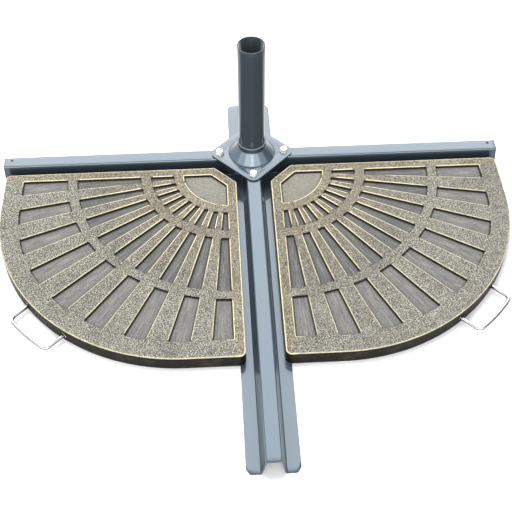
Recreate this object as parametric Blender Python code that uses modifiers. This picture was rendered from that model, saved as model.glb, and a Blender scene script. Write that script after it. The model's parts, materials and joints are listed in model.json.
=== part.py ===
"""Parasol base: a bolted steel cross with a socket for the mast, and two cast weights with pull-out handles.

Metres, +Z up, floor at z = 0. The origin is the middle of the footprint. Everything hangs from one empty on
the mast's axis, so the sizes below are measured from that axis: +X along the right arm, -Y along the front bar.
"""

import math

import bmesh
import bpy
from mathutils import Matrix, Vector

# Steel cross
SHEET = 0.0025  # thickness of the folded steel
BAR_HEIGHT = 0.040  # floor to ridge
RIDGE_HALF = 0.0134  # half the flat ridge
FOOT_HALF = 0.0210  # half the width where the sloping walls meet the flanges
FLANGE_HALF = 0.0447  # half the width over the two flanges
BEND_OUTER = 0.0038
BEND_INNER = 0.0015
BAR_FRONT = 0.695
BAR_REAR = 0.190
ARM_REACH = 0.500
ARM_START = 0.0225  # the arm's hat stops just short of the main bar's wall
END_RADIUS = 0.010  # plan rounding of the flange corners
GAP = 0.0003  # clearance between pieces that touch

# Centre plate and its fasteners
PLATE_SIDE = 0.124
PLATE_RADIUS = 0.016
PLATE_THICK = 0.0035
BOLT_REACH = 0.065  # mast axis to each bolt
BOLT_RADIUS = 0.0040
BOLT_HOLE = 0.0045
HEAD_RADIUS = 0.0084  # round collar under the hexagon
COLLAR_THICK = 0.0016
HEAD_FLATS = 0.0126
HEAD_HEIGHT = 0.0066  # collar and hexagon
BOLT_LENGTH = 0.0205  # under the head
BOLT_TIP = 0.0010
WASHER_RADIUS = 0.0080
WASHER_THICK = 0.0015
NUT_FLATS = 0.0130
NUT_THICK = 0.0065
TIP_HOLE_X = 0.485
TIP_HOLE_Y = 0.004
TIP_HOLE_RADIUS = 0.0025

# Socket and mast tube
CONE_BASE = 0.0470
NECK_RADIUS = 0.0285
NECK_FOOT = 0.0650
NECK_TOP = 0.0755
CONE_WALL = 0.0030
RIM_CHAMFER = 0.0012
TUBE_RADIUS = 0.0260
TUBE_WALL = 0.0020
TUBE_TOP = 0.310
TUBE_EDGE = 0.0005

# Cast weights, in the weight's own corner frame: u outwards from the main bar, v forwards from the arm
WEIGHT_U = 0.0342  # mast axis to the weight's inner edge
WEIGHT_V = 0.0277  # mast axis to the weight's back edge
WEIGHT_SIDE = 0.4603
WEIGHT_STRAIGHT = 0.103  # straight stretch at each end of the curved edge
WEIGHT_TOP = 0.030
WEIGHT_CHAMFER = 0.0425  # inner corner, cut clear of the centre plate
WEIGHT_CORNER = 0.011
CHAMFER_CORNER = 0.008
WEIGHT_EDGE = 0.0015
FLANGE_REBATE = 0.0010  # play between the rebate under the weight and the flange
BORDER = 0.0195  # raised band along the straight edges
RIM_BAND = 0.0365  # raised band along the curved edge
RING_CENTRE = 0.012
CORNER_ARC = 0.0935
RINGS = ((0.112, 0.159), (0.178, 0.305), (0.323, None))  # inner and outer radius of each ring of pockets
SPOKES = 8
POCKET_DEPTH = 0.005
POCKET_CHAMFER = 0.0500

# Handles: wire loops whose legs slide in sleeves cast into the weight
WIRE_RADIUS = 0.0035
LEG_HALF = 0.0487  # half the distance between the legs
HANDLE_OUT = 0.0405  # wall to the outer bar, pulled out
HANDLE_BEND = 0.011
HANDLE_BOW = 0.0034  # the bar's bow, which follows the rim
HANDLE_Z = 0.0135
SLEEVE_RADIUS = 0.0055
SLEEVE_BORE = 0.0038
SLEEVE_LENGTH = 0.042
SLEEVE_FLUSH = 0.0010  # how far the sleeve's mouth sits back from the wall
STOP_RADIUS = 0.0048
STOP_LENGTH = 0.003
BORE_RADIUS = 0.0058
BORE_DEPTH = 0.080

MAST_Y = (BAR_FRONT - BAR_REAR) / 2  # puts the middle of the footprint on the origin
PLATE_Z = BAR_HEIGHT + GAP
PLATE_TOP = PLATE_Z + PLATE_THICK
QUARTER = math.pi / 2
ROUND_STEPS = 64
SMALL_STEPS = 24
SIDES = {"left": -1, "right": 1}


def clear_scene():
    for item in list(bpy.data.objects):
        bpy.data.objects.remove(item, do_unlink=True)


clear_scene()
PARTS = bpy.data.collections.new("parasol_base")
CUTTERS = bpy.data.collections.new("cutters")
for folder in (PARTS, CUTTERS):
    bpy.context.scene.collection.children.link(folder)
MAST = bpy.data.objects.new("mast_axis", None)
MAST.location = (0.0, MAST_Y, 0.0)
PARTS.objects.link(MAST)


# Materials


def material(name, colour, roughness, metallic):
    made = bpy.data.materials.new(name)
    made.use_nodes = True
    shader = made.node_tree.nodes["Principled BSDF"]
    shader.inputs["Base Color"].default_value = (*colour, 1.0)
    shader.inputs["Roughness"].default_value = roughness
    shader.inputs["Metallic"].default_value = metallic
    return made


def own_material(item, look):
    """Each piece gets its own material, named for the piece, from one of the looks below."""
    item.data.materials.clear()
    item.data.materials.append(material(item.name, *look))


SLATE_PAINT = ((0.30, 0.36, 0.42), 0.25, 0.2)
DARK_PAINT = ((0.055, 0.068, 0.085), 0.25, 0.2)
ZINC = ((0.85, 0.86, 0.87), 0.25, 1.0)
CAST_BRONZE = ((0.33, 0.30, 0.24), 0.55, 0.4)
CHROME = ((0.90, 0.91, 0.92), 0.10, 1.0)


# Outlines


def arc(centre, radius, start, end, count):
    """Points from angle start to angle end, both included."""
    return [
        (
            centre[0] + radius * math.cos(start + (end - start) * i / count),
            centre[1] + radius * math.sin(start + (end - start) * i / count),
        )
        for i in range(count + 1)
    ]


def fillet(before, corner, after, radius, count):
    """The corner rounded: an arc tangent to the two edges that meet there."""
    corner = Vector(corner)
    to_before = (Vector(before) - corner).normalized()
    to_after = (Vector(after) - corner).normalized()
    half = to_before.angle(to_after) / 2
    centre = corner + (to_before + to_after).normalized() * radius / math.sin(half)
    first = corner + to_before * radius / math.tan(half) - centre
    last = corner + to_after * radius / math.tan(half) - centre
    start = math.atan2(first.y, first.x)
    turn = math.remainder(math.atan2(last.y, last.x) - start, 2 * math.pi)
    return arc(centre, radius, start, start + turn, count)


def rounded(corners, count):
    """A closed outline from (x, y, radius) corners."""
    outline = []
    for i, (x, y, radius) in enumerate(corners):
        before = corners[i - 1][:2]
        after = corners[(i + 1) % len(corners)][:2]
        outline += fillet(before, (x, y), after, radius, count) if radius else [(x, y)]
    return outline


# Builders


def link(item, folder, parent=MAST):
    folder.objects.link(item)
    item.parent = parent
    return item


def smooth(mesh):
    mesh.shade_smooth()
    mesh.set_sharp_from_angle(angle=math.radians(35))


def weld(mesh):
    """Joins a filled curve's caps to its sides."""
    work = bmesh.new()
    work.from_mesh(mesh)
    bmesh.ops.remove_doubles(work, verts=work.verts, dist=0.000001)
    bmesh.ops.recalc_face_normals(work, faces=work.faces)
    work.to_mesh(mesh)
    work.free()


def mesh_from_curve(curve_item):
    """The curve object remade as a mesh object of the same name and place."""
    name = curve_item.name
    bpy.context.view_layer.update()
    evaluated = curve_item.evaluated_get(bpy.context.evaluated_depsgraph_get())
    mesh = bpy.data.meshes.new_from_object(evaluated)
    weld(mesh)
    folder = curve_item.users_collection[0]
    parent = curve_item.parent
    place = curve_item.matrix_world.copy()
    bpy.data.objects.remove(curve_item, do_unlink=True)
    item = bpy.data.objects.new(name, mesh)
    folder.objects.link(item)
    item.parent = parent
    item.matrix_world = place
    return item


def flat_piece(name, outlines, bottom, top, folder=PARTS, turn=None):
    """Outlines in plan, the first outside and any others holes or more pieces, as thick as bottom to top."""
    curve = bpy.data.curves.new(name, "CURVE")
    curve.dimensions = "2D"
    curve.fill_mode = "BOTH"
    curve.extrude = (top - bottom) / 2
    for outline in outlines:
        spline = curve.splines.new("POLY")
        spline.points.add(len(outline) - 1)
        for point, (x, y) in zip(spline.points, outline):
            point.co = (x, y, 0.0, 1.0)
        spline.use_cyclic_u = True
    item = bpy.data.objects.new(name, curve)
    link(item, folder)
    middle = Matrix.Translation((0.0, 0.0, (top + bottom) / 2))
    item.matrix_local = (turn or Matrix.Identity(4)) @ middle
    return mesh_from_curve(item)


def turned(name, profile, steps, folder=PARTS, closed=True):
    """A profile of (radius, z) points spun about Z. An open profile starts and ends on the axis."""
    mesh = bpy.data.meshes.new(name)
    edges = [(i, i + 1) for i in range(len(profile) - 1)]
    if closed:
        edges.append((len(profile) - 1, 0))
    mesh.from_pydata([(radius, 0.0, z) for radius, z in profile], edges, [])
    item = link(bpy.data.objects.new(name, mesh), folder)
    screw = item.modifiers.new("turn", "SCREW")
    screw.steps = steps
    screw.render_steps = steps
    screw.use_smooth_shade = True
    screw.use_merge_vertices = True
    screw.merge_threshold = 0.00001
    return item


def as_cutter(item):
    item.hide_render = True
    item.display_type = "WIRE"
    return item


def round_cutter(name, radius, depth, place, steps=SMALL_STEPS):
    """A cylinder along Z of its own place matrix, from 0 to depth."""
    mesh = bpy.data.meshes.new(name)
    work = bmesh.new()
    bmesh.ops.create_cone(
        work, cap_ends=True, segments=steps, radius1=radius, radius2=radius, depth=depth,
        matrix=Matrix.Translation((0.0, 0.0, depth / 2)),
    )
    work.to_mesh(mesh)
    work.free()
    item = link(bpy.data.objects.new(name, mesh), CUTTERS)
    item.matrix_local = place
    return as_cutter(item)


def box_cutter(name, low, high):
    mesh = bpy.data.meshes.new(name)
    work = bmesh.new()
    size = [b - a for a, b in zip(low, high)]
    middle = [(a + b) / 2 for a, b in zip(low, high)]
    bmesh.ops.create_cube(work, size=1.0, matrix=Matrix.Translation(middle) @ Matrix.Diagonal((*size, 1.0)))
    work.to_mesh(mesh)
    work.free()
    return as_cutter(link(bpy.data.objects.new(name, mesh), CUTTERS))


def boolean(item, other, operation="DIFFERENCE"):
    cut = item.modifiers.new(f"{operation.lower()} {other.name}", "BOOLEAN")
    cut.operation = operation
    cut.object = other


# Steel cross


def hat_outline():
    """The folded section, in x across the bar and y up."""
    lean = (FOOT_HALF - RIDGE_HALF) / (BAR_HEIGHT - SHEET)  # the wall's slope
    across = SHEET * math.hypot(1.0, lean)  # the wall's thickness, measured level
    inner_ridge = RIDGE_HALF + lean * SHEET - across
    inner_foot = FOOT_HALF + lean * SHEET - across
    upper = [
        (FLANGE_HALF, SHEET, 0.0),
        (FOOT_HALF, SHEET, BEND_INNER),
        (RIDGE_HALF, BAR_HEIGHT, BEND_OUTER),
    ]
    lower = [
        (inner_ridge, BAR_HEIGHT - SHEET, BEND_INNER),
        (inner_foot, 0.0, BEND_OUTER),
        (FLANGE_HALF, 0.0, 0.0),
    ]
    mirrored = [(-x, y, radius) for x, y, radius in reversed(upper)]
    mirrored += [(-x, y, radius) for x, y, radius in reversed(lower)]
    return rounded(upper + mirrored + lower, 5)


def hat_bar(name, direction, start, end, start_radius, end_radius):
    """A folded bar along the plan direction, trimmed to rounded corners at its ends."""
    across = Vector((-direction[1], direction[0], 0.0))
    along = Vector((*direction, 0.0))
    section = Matrix((
        (across.x, 0.0, along.x, 0.0),
        (across.y, 0.0, along.y, 0.0),
        (across.z, 1.0, along.z, 0.0),
        (0.0, 0.0, 0.0, 1.0),
    ))
    bar = flat_piece(name, [hat_outline()], start, end, turn=section)
    plan = Matrix((
        (along.x, across.x, 0.0, 0.0),
        (along.y, across.y, 0.0, 0.0),
        (0.0, 0.0, 1.0, 0.0),
        (0.0, 0.0, 0.0, 1.0),
    ))
    margin = 0.001
    half = FLANGE_HALF + margin
    corners = [
        (start, -FLANGE_HALF, start_radius), (end, -FLANGE_HALF, end_radius),
        (end, FLANGE_HALF, end_radius), (start, FLANGE_HALF, start_radius),
    ]
    if not start_radius:
        corners[0] = (start - margin, -half, 0.0)
        corners[3] = (start - margin, half, 0.0)
    trim = flat_piece(f"{name}_trim", [rounded(corners, 6)], -margin, BAR_HEIGHT + margin, CUTTERS, plan)
    boolean(bar, as_cutter(trim), "INTERSECT")
    smooth(bar.data)
    own_material(bar, SLATE_PAINT)
    return bar


def upright_hole(bar, name, x, y, radius):
    """A hole through the bar's ridge."""
    depth = 4 * SHEET
    place = Matrix.Translation((x, y, BAR_HEIGHT - depth / 2))
    boolean(bar, round_cutter(name, radius, depth, place))


def steel_cross():
    main = hat_bar("main_bar", (0.0, -1.0), -BAR_REAR, BAR_FRONT, END_RADIUS, END_RADIUS)
    upright_hole(main, "main_bar_hole_front", 0.0, -BOLT_REACH, BOLT_HOLE)
    upright_hole(main, "main_bar_hole_back", 0.0, BOLT_REACH, BOLT_HOLE)
    # Next to the main bar an arm's flanges and wall feet stop at the main bar's flange; its hat passes above.
    reach = FLANGE_HALF + 2 * GAP
    notch = box_cutter("arm_notch", (-reach, -0.06, -0.01), (reach, 0.06, SHEET + 2 * GAP))
    for side, sign in SIDES.items():
        arm = hat_bar(f"{side}_arm", (float(sign), 0.0), ARM_START, ARM_REACH, 0.0, END_RADIUS)
        boolean(arm, notch)
        upright_hole(arm, f"{side}_arm_hole", sign * BOLT_REACH, 0.0, BOLT_HOLE)
        upright_hole(arm, f"{side}_tip_hole", sign * TIP_HOLE_X, TIP_HOLE_Y, TIP_HOLE_RADIUS)


# Centre plate, fasteners, socket and tube


def circle(x, y, radius, steps=SMALL_STEPS):
    return arc((x, y), radius, 0.0, 2 * math.pi, steps)[:-1]


def bolt_places():
    return {
        "front": (0.0, -BOLT_REACH),
        "right": (BOLT_REACH, 0.0),
        "back": (0.0, BOLT_REACH),
        "left": (-BOLT_REACH, 0.0),
    }


def centre_plate():
    point = PLATE_SIDE / math.sqrt(2)
    corners = [(point, 0.0), (0.0, point), (-point, 0.0), (0.0, -point)]
    outline = rounded([(x, y, PLATE_RADIUS) for x, y in corners], 8)
    holes = [circle(x, y, BOLT_HOLE) for x, y in bolt_places().values()]
    plate = flat_piece("centre_plate", [outline, *holes], PLATE_Z, PLATE_TOP)
    smooth(plate.data)
    own_material(plate, SLATE_PAINT)


def bolt(name, x, y):
    """Hexagon head on a round collar, plain shank through plate, bar, washer and nut."""
    seat = PLATE_TOP + GAP
    collar = seat + COLLAR_THICK
    end = seat - BOLT_LENGTH
    profile = [
        (0.0, collar), (HEAD_RADIUS, collar), (HEAD_RADIUS, seat), (BOLT_RADIUS, seat),
        (BOLT_RADIUS, end + BOLT_TIP), (BOLT_RADIUS - BOLT_TIP, end), (0.0, end),
    ]
    item = turned(name, profile, SMALL_STEPS, closed=False)
    item.location = (x, y, 0.0)
    corners = circle(x, y, HEAD_FLATS / math.sqrt(3), 6)
    head = flat_piece(f"{name}_head", [corners], seat + COLLAR_THICK / 2, seat + HEAD_HEIGHT, CUTTERS)
    boolean(item, as_cutter(head), "UNION")
    own_material(item, ZINC)


def fasteners():
    under = BAR_HEIGHT - SHEET - GAP
    for where, (x, y) in bolt_places().items():
        bolt(f"{where}_bolt", x, y)
        washer = flat_piece(
            f"{where}_washer", [circle(x, y, WASHER_RADIUS), circle(x, y, BOLT_HOLE)], under - WASHER_THICK, under
        )
        nut_top = under - WASHER_THICK - GAP
        hexagon = circle(x, y, NUT_FLATS / math.sqrt(3), 6)
        nut = flat_piece(f"{where}_nut", [hexagon, circle(x, y, BOLT_RADIUS + GAP)], nut_top - NUT_THICK, nut_top)
        for item in (washer, nut):
            smooth(item.data)
            own_material(item, ZINC)


def socket_and_tube():
    foot = PLATE_TOP + GAP
    bore = TUBE_RADIUS + GAP
    drop = CONE_WALL * 1.4
    cone = turned(
        "socket_cone",
        [
            (bore + 0.0005, NECK_TOP), (NECK_RADIUS - RIM_CHAMFER, NECK_TOP), (NECK_RADIUS, NECK_TOP - RIM_CHAMFER),
            (NECK_RADIUS, NECK_FOOT + 0.001), (NECK_RADIUS + 0.001, NECK_FOOT - 0.0005),
            (CONE_BASE - 0.001, foot + 0.0012), (CONE_BASE, foot),
            (CONE_BASE - drop, foot), (bore, NECK_FOOT - drop), (bore, NECK_TOP - 0.0005),
        ],
        ROUND_STEPS,
    )
    own_material(cone, SLATE_PAINT)
    inside = TUBE_RADIUS - TUBE_WALL
    tube = turned(
        "mast_tube",
        [
            (inside + TUBE_EDGE, TUBE_TOP), (TUBE_RADIUS - TUBE_EDGE, TUBE_TOP),
            (TUBE_RADIUS, TUBE_TOP - TUBE_EDGE), (TUBE_RADIUS, foot),
            (inside, foot), (inside, TUBE_TOP - TUBE_EDGE),
        ],
        ROUND_STEPS,
    )
    own_material(tube, DARK_PAINT)


# Cast weights


def weight_outline():
    """Quarter fan: two straight edges, a cut inner corner, and a curved edge with a straight run at each end."""
    side, straight = WEIGHT_SIDE, WEIGHT_STRAIGHT
    ends = [
        ((side, straight), (side, 0.0), (WEIGHT_CHAMFER, 0.0), WEIGHT_CORNER),
        ((side, 0.0), (WEIGHT_CHAMFER, 0.0), (0.0, WEIGHT_CHAMFER), CHAMFER_CORNER),
        ((WEIGHT_CHAMFER, 0.0), (0.0, WEIGHT_CHAMFER), (0.0, side), CHAMFER_CORNER),
        ((0.0, WEIGHT_CHAMFER), (0.0, side), (straight, side), WEIGHT_CORNER),
    ]
    outline = []
    for before, corner, after, radius in ends:
        outline += fillet(before, corner, after, radius, 5)
    return outline + arc((straight, straight), side - straight, QUARTER, 0.0, 32)


def ring_point(angle, radius):
    """Where the spoke direction from the border's inner corner meets a ring about RING_CENTRE."""
    across = BORDER - RING_CENTRE
    along = across * (math.cos(angle) + math.sin(angle))
    reach = -along + math.sqrt(along**2 - 2 * across**2 + radius**2)
    return (BORDER + reach * math.cos(angle), BORDER + reach * math.sin(angle))


def rim_point(angle):
    """Where the spoke direction meets the inside of the band that follows the curved edge."""
    limit = WEIGHT_SIDE - RIM_BAND
    run = limit - BORDER
    if run * math.tan(min(angle, QUARTER - angle)) <= WEIGHT_STRAIGHT - BORDER:
        reach = run / max(math.cos(angle), math.sin(angle))
    else:
        across = BORDER - WEIGHT_STRAIGHT
        along = across * (math.cos(angle) + math.sin(angle))
        reach = -along + math.sqrt(along**2 - 2 * across**2 + (limit - WEIGHT_STRAIGHT) ** 2)
    return (BORDER + reach * math.cos(angle), BORDER + reach * math.sin(angle))


def without_straight_points(outline):
    """The outline less the points that lie on the straight line between their neighbours."""
    kept = []
    for i, (x, y) in enumerate(outline):
        (x0, y0), (x1, y1) = outline[i - 1], outline[(i + 1) % len(outline)]
        if abs((x - x0) * (y1 - y) - (y - y0) * (x1 - x)) > 1e-8:
            kept.append((x, y))
    return kept


def pocket_outlines():
    """The corner pocket, then each ring's pockets: spokes and pockets share the quarter turn equally."""
    corner = [ring_point(QUARTER * i / 12, CORNER_ARC) for i in range(13)]
    outlines = [[*corner, (BORDER, POCKET_CHAMFER), (POCKET_CHAMFER, BORDER)]]
    wedge = QUARTER / (2 * SPOKES + 1)
    for inner, outer in RINGS:
        for k in range(SPOKES + 1):
            angles = [wedge * (2 * k + i / 3) for i in range(4)]
            near = [ring_point(angle, inner) for angle in angles]
            far = [ring_point(angle, outer) if outer else rim_point(angle) for angle in angles]
            outlines.append(without_straight_points(near + far[::-1]))
    return outlines


def handle_place(sign):
    """Local +X points out through the middle of the rim, at the handle's height, from the rim's wall."""
    middle = WEIGHT_STRAIGHT
    legs_at = math.sqrt((WEIGHT_SIDE - WEIGHT_STRAIGHT) ** 2 - LEG_HALF**2)
    x = WEIGHT_U + middle + legs_at * math.cos(math.pi / 4)
    y = WEIGHT_V + middle + legs_at * math.sin(math.pi / 4)
    turn = Matrix.Rotation(-math.pi / 4 if sign > 0 else -3 * math.pi / 4, 4, "Z")
    return Matrix.Translation((sign * x, -y, HANDLE_Z)) @ turn


def leg_places(sign):
    """For each leg, a frame on its line with +Z pointing into the weight."""
    into = Matrix.Rotation(-QUARTER, 4, "Y")
    return {
        "inner": handle_place(sign) @ Matrix.Translation((0.0, -sign * LEG_HALF, 0.0)) @ into,
        "outer": handle_place(sign) @ Matrix.Translation((0.0, sign * LEG_HALF, 0.0)) @ into,
    }


def cast_weight(side, sign, rebates):
    def placed(outline):
        return [(sign * u, -v) for u, v in outline]

    corner = Matrix.Translation((sign * WEIGHT_U, -WEIGHT_V, 0.0))
    weight = flat_piece(f"{side}_weight", [placed(weight_outline())], GAP, WEIGHT_TOP, turn=corner)
    edge = weight.modifiers.new("cast edge", "BEVEL")
    edge.width = WEIGHT_EDGE
    edge.segments = 1
    edge.limit_method = "ANGLE"
    edge.angle_limit = math.radians(60)
    pockets = [placed(outline) for outline in pocket_outlines()]
    floor = WEIGHT_TOP - POCKET_DEPTH
    cutter = flat_piece(f"{side}_pockets", pockets, floor, WEIGHT_TOP + POCKET_DEPTH, CUTTERS, corner)
    boolean(weight, as_cutter(cutter))
    for rebate in rebates:
        boolean(weight, rebate)
    for which, place in leg_places(sign).items():
        out = Matrix.Translation((0.0, 0.0, -0.01))
        boolean(weight, round_cutter(f"{side}_{which}_bore", BORE_RADIUS, BORE_DEPTH + 0.01, place @ out))
    smooth(weight.data)
    own_material(weight, CAST_BRONZE)


def sleeve(name, place):
    """A steel guide tube cast into the weight behind each leg's hole."""
    start, end = SLEEVE_FLUSH, SLEEVE_FLUSH + SLEEVE_LENGTH
    outer, inner = SLEEVE_RADIUS, SLEEVE_BORE
    item = turned(name, [(inner, end), (outer, end), (outer, start), (inner, start)], SMALL_STEPS)
    item.matrix_local = place
    own_material(item, ZINC)


def handle_route():
    """Leg, bend, bowed bar, bend, leg: x out of the wall, y across, starting deep in the left leg."""
    inside = -(SLEEVE_FLUSH + SLEEVE_LENGTH + GAP + STOP_LENGTH)
    bow_radius = (LEG_HALF**2 + HANDLE_BOW**2) / (2 * HANDLE_BOW)
    lean = math.asin(LEG_HALF / bow_radius)  # how far the bowed bar leans where it would meet a leg
    corner = (HANDLE_OUT, -LEG_HALF)
    along_bar = (corner[0] + math.sin(lean), corner[1] + math.cos(lean))
    bend = fillet((0.0, -LEG_HALF), corner, along_bar, HANDLE_BEND, 6)
    centre = (HANDLE_OUT + HANDLE_BOW - bow_radius, 0.0)
    swept = math.asin(-bend[-1][1] / bow_radius)
    bar = arc(centre, bow_radius, -swept, swept, 10)[1:-1]
    half = [(inside, -LEG_HALF), *bend]
    return half + bar + [(x, -y) for x, y in reversed(half)]


def handle(side, sign):
    name = f"{side}_handle"
    curve = bpy.data.curves.new(name, "CURVE")
    curve.dimensions = "3D"
    curve.bevel_depth = WIRE_RADIUS
    curve.bevel_resolution = 3
    curve.use_fill_caps = True
    route = handle_route()
    spline = curve.splines.new("POLY")
    spline.points.add(len(route) - 1)
    for point, (x, y) in zip(spline.points, route):
        point.co = (x, y, 0.0, 1.0)
    item = link(bpy.data.objects.new(name, curve), PARTS)
    item.matrix_local = handle_place(sign)
    item = mesh_from_curve(item)
    stop_at = SLEEVE_FLUSH + SLEEVE_LENGTH + GAP
    for which, place in leg_places(sign).items():
        head = round_cutter(f"{side}_{which}_stop", STOP_RADIUS, STOP_LENGTH + 0.0005, place)
        head.matrix_local = place @ Matrix.Translation((0.0, 0.0, stop_at))
        boolean(item, head, "UNION")
    smooth(item.data)
    own_material(item, CHROME)


def weights_and_handles():
    # Rebates under each weight let it sit over the flanges of the bar and the arm and still reach the floor.
    half = FLANGE_HALF + FLANGE_REBATE
    top = SHEET + 2 * GAP
    rebates = [
        box_cutter("bar_rebate", (-half, -0.8, -0.01), (half, 0.2, top)),
        box_cutter("arm_rebate", (-0.6, -half, -0.012), (0.6, half, top)),
    ]
    for side, sign in SIDES.items():
        cast_weight(side, sign, rebates)
        for which, place in leg_places(sign).items():
            sleeve(f"{side}_{which}_sleeve", place)
        handle(side, sign)


steel_cross()
centre_plate()
fasteners()
socket_and_tube()
weights_and_handles()
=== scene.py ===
import json
import math

import bmesh
import bpy
from mathutils import Matrix, Vector, geometry, kdtree, noise

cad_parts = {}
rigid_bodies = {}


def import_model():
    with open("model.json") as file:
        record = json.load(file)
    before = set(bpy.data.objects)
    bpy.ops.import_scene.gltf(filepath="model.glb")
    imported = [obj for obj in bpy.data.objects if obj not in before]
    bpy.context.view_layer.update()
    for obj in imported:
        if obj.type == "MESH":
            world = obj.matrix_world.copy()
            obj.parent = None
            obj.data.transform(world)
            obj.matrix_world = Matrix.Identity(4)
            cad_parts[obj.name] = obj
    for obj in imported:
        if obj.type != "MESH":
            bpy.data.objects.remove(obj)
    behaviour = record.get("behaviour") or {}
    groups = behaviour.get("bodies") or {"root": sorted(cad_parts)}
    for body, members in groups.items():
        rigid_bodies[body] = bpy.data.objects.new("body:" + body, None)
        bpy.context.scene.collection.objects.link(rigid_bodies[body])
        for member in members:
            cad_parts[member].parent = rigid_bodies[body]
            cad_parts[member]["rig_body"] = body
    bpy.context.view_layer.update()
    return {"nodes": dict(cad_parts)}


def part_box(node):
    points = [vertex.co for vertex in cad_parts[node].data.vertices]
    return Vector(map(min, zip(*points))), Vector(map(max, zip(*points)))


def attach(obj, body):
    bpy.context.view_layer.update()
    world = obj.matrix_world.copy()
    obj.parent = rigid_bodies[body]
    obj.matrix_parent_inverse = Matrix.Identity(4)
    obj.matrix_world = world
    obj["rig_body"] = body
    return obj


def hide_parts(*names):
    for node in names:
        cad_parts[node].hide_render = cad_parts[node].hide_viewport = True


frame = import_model()

# Everything is in metres in the CAD's frame: +Z up, floor at z = 0, +X along the right arm, -Y to the front.
# Plan sizes of the weights and bars are measured from the mast's axis.
TUBE_LOW, TUBE_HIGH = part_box("mast_tube")
MAST_Y = (TUBE_LOW.y + TUBE_HIGH.y) / 2
MAST = Matrix.Translation((0.0, MAST_Y, 0.0))
QUARTER = math.pi / 2
SIDES = {"left": -1, "right": 1}

# Steel cross
SHEET = 0.0025
RIDGE_HALF = 0.0134
FOOT_HALF = 0.0210
FLANGE_HALF = 0.0447
BAR_HEIGHT = 0.040
BEND_OUTER = 0.0038
BEND_INNER = 0.0015
END_RADIUS = 0.010
BEND_STEPS = 9
RING_STEP = 0.012  # length between the rings of points along a bar
SHEAR_EDGE = 0.0004  # rounding of the sheet's cut edges
TIP_HOLE = (0.485, 0.004, 0.0025)  # x and y from the mast's axis, radius
NOTCH_GAP = 0.0006  # between an arm's end and the main bar's flange

# Centre plate and fasteners
PLATE_SIDE = 0.124
PLATE_RADIUS = 0.016
PLATE_EDGE = 0.0009
BOLT_REACH = 0.065
BOLT_HOLE = 0.0045
HEAD_RADIUS = 0.0084
HEAD_FLATS = 0.0126
COLLAR_HEIGHT = 0.0016
HEAD_SEAT = 0.0003  # gap between the plate and a bolt's collar
SHANK_RADIUS = 0.0039
THREAD_PITCH = 0.00125
THREAD_DEPTH = 0.0006
PLAIN_NECK = 0.005  # unthreaded length under a bolt's head
SHANK_POINT = 0.0008  # length of the taper at a shank's end
NUT_FLATS = 0.0130
HEX_FACE = 0.94  # chamfer circle across a hexagon, as a share of its flats
HEX_CHAMFER = math.radians(30)

# Socket and tube
NECK_RADIUS = 0.0285
NECK_FOOT = 0.0650
CONE_BASE = 0.0470
TUBE_WALL = 0.002
TUBE_EDGE = 0.0006
SEAM_HEIGHT, SEAM_WIDTH = 0.0005, 0.0012  # the weld bead up the inside of the tube

# Cast weights, in the weight's corner frame: u outwards from the main bar, v forwards from the arm
WEIGHT_U = 0.0342
WEIGHT_V = 0.0277
WEIGHT_SIDE = 0.4603
WEIGHT_STRAIGHT = 0.103
WEIGHT_BOTTOM = 0.0003
WEIGHT_TOP = 0.030
WEIGHT_CHAMFER = 0.0425
WEIGHT_CORNER = 0.011
CHAMFER_CORNER = 0.008
WEIGHT_EDGE = 0.0016
BORDER = 0.0195
RIM_BAND = 0.0365
RING_CENTRE = 0.012
CORNER_ARC = 0.0935
RINGS = ((0.112, 0.159), (0.178, 0.305), (0.323, None))  # radii; the last pockets end at the rim band
RING_ARCS = [radius for ring in RINGS for radius in ring if radius]
SPOKES = 8
WEDGE = QUARTER / (2 * SPOKES + 1)
POCKET_DEPTH = 0.005
POCKET_CHAMFER = 0.0500
POCKET_CORNER = 0.0028
POINT_STEP = 0.0026  # spacing of the points along the edges of a casting
LATTICE = 0.0025  # spacing of the points over its faces
GRAIN_DEPTH = 0.00016
REBATE_HALF = 0.0457
REBATE_TOP = 0.0031
BORE_RADIUS = 0.0058
BORE_DEPTH = 0.080
WALL_FOOT_DARK_REACH = 0.0042  # width of the darkening along the foot of a pocket's wall

# Handles
WIRE_RADIUS = 0.0035
LEG_HALF = 0.0487
HANDLE_OUT = 0.0405
HANDLE_BEND = 0.011
HANDLE_BOW = 0.0034
HANDLE_Z = 0.0135
SLEEVE_FLUSH = 0.0010
SLEEVE_LENGTH = 0.042
SLEEVE_OUTER, SLEEVE_INNER = 0.0055, 0.0038
STOP_LENGTH = 0.003
STOP_RADIUS = 0.0048

# Studio
SKY_LOW, SKY_HIGH = 0.12, 0.32  # the dome's strength at the horizon and overhead
SKY_HAZE = 0.95  # added along the horizon
SOFT_PANELS = (  # direction, cosines from it where the patch fades out and where it is full, and its strength
    ((0.0, 0.66, 0.75), 0.80, 0.93, 5.0),
    ((-0.24, -0.80, 0.52), 0.915, 0.965, 7.5),
    ((0.24, -0.80, 0.52), 0.915, 0.965, 6.0),
    ((-0.72, -0.52, 0.46), 0.915, 0.970, 3.6),
    ((0.72, -0.52, 0.46), 0.915, 0.970, 2.2),
    ((-0.92, 0.10, 0.38), 0.80, 0.95, 1.4),
)
FLOOR_REACH = 40.0
FLOOR_DROP = 0.0002  # keeps the floor's face off the undersides that stand on it
LAMP_PLACE, LAMP_SIZE, LAMP_POWER = (-0.3, 0.45, 3.0), 1.0, 105.0
LENS, SENSOR = 66.07, 36.0
CAMERA_PLACE = (-0.0652, MAST_Y - 1.3906, 1.3678)
CAMERA_PAN, CAMERA_TILT, CAMERA_ROLL = -0.0528, 0.7000, -0.0012

# Materials


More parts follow.
